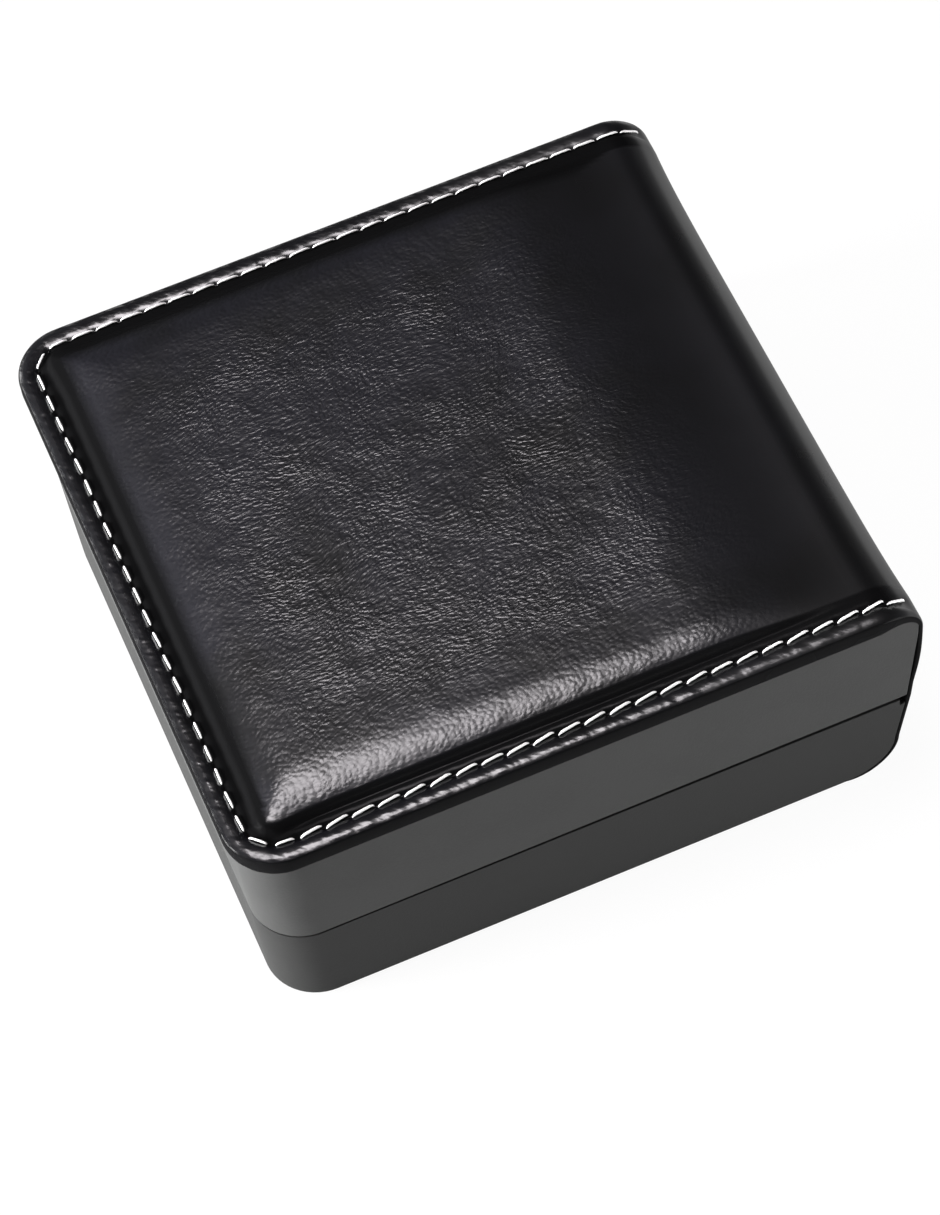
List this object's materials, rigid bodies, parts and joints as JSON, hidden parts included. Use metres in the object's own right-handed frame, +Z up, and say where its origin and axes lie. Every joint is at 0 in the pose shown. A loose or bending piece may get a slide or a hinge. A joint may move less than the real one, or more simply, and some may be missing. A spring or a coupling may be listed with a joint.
{
  "type": "padded clamshell watch box",
  "caption": "Small leather-covered watch box: shallow base, deeper padded and stitched lid hinged on a leather spine, with a watch pillow in a tray inside.",
  "frame": {"origin": "centre of the closed box footprint, on the table", "axes": "+Z up; +Y towards the hinged spine, -Y towards the opening edge; +X along the hinge line"},
  "size_m": [0.1056, 0.11, 0.0508],
  "materials": {
    "black_leather": "grained, semi-gloss",
    "charcoal_leatherette": "smooth, matte",
    "shell_plastic": "moulded, matte",
    "black_velvet": "short pile",
    "black_flock": "flocked",
    "foam": "open cell",
    "fibre_board": "raw",
    "white_thread": "twisted thread",
    "hinge_steel": "nickel plated",
    "satin": "satin"
  },
  "bodies": {
    "base": {"base_shell": "shell_plastic", "base_side_wrap": "charcoal_leatherette", "base_bottom_cover": "black_leather", "base_back_leather": "black_leather", "base_lining": "black_velvet", "insert_tray": "black_flock", "watch_pillow_cover": "black_velvet", "watch_pillow_foam": "foam", "spine_fold": "black_leather", "hinge_base_leaf_left": "hinge_steel", "hinge_base_leaf_right": "hinge_steel", "hinge_pin_left": "hinge_steel", "hinge_pin_right": "hinge_steel", "hinge_spring_left": "hinge_steel", "hinge_spring_right": "hinge_steel", "hinge_base_screws": "hinge_steel"},
    "lid": {"lid_shell": "shell_plastic", "lid_side_wrap": "charcoal_leatherette", "lid_top_board": "fibre_board", "lid_foam_pad": "foam", "spine_roll_padding": "foam", "lid_leather_cover": "black_leather", "lid_stitching": "white_thread", "lid_lining": "black_velvet", "lid_pad_board": "fibre_board", "lid_lining_pad": "satin", "hinge_lid_leaf_left": "hinge_steel", "hinge_lid_leaf_right": "hinge_steel", "hinge_lid_screws": "hinge_steel"}
  },
  "joints": [
    {"name": "lid_hinge", "type": "hinge", "parent": "base", "child": "lid", "pos_m": [0, 0.0515, 0.0204], "axis": [-1, 0, 0], "range_deg": [0, 100], "deforming": ["spine_fold"]}
  ]
}
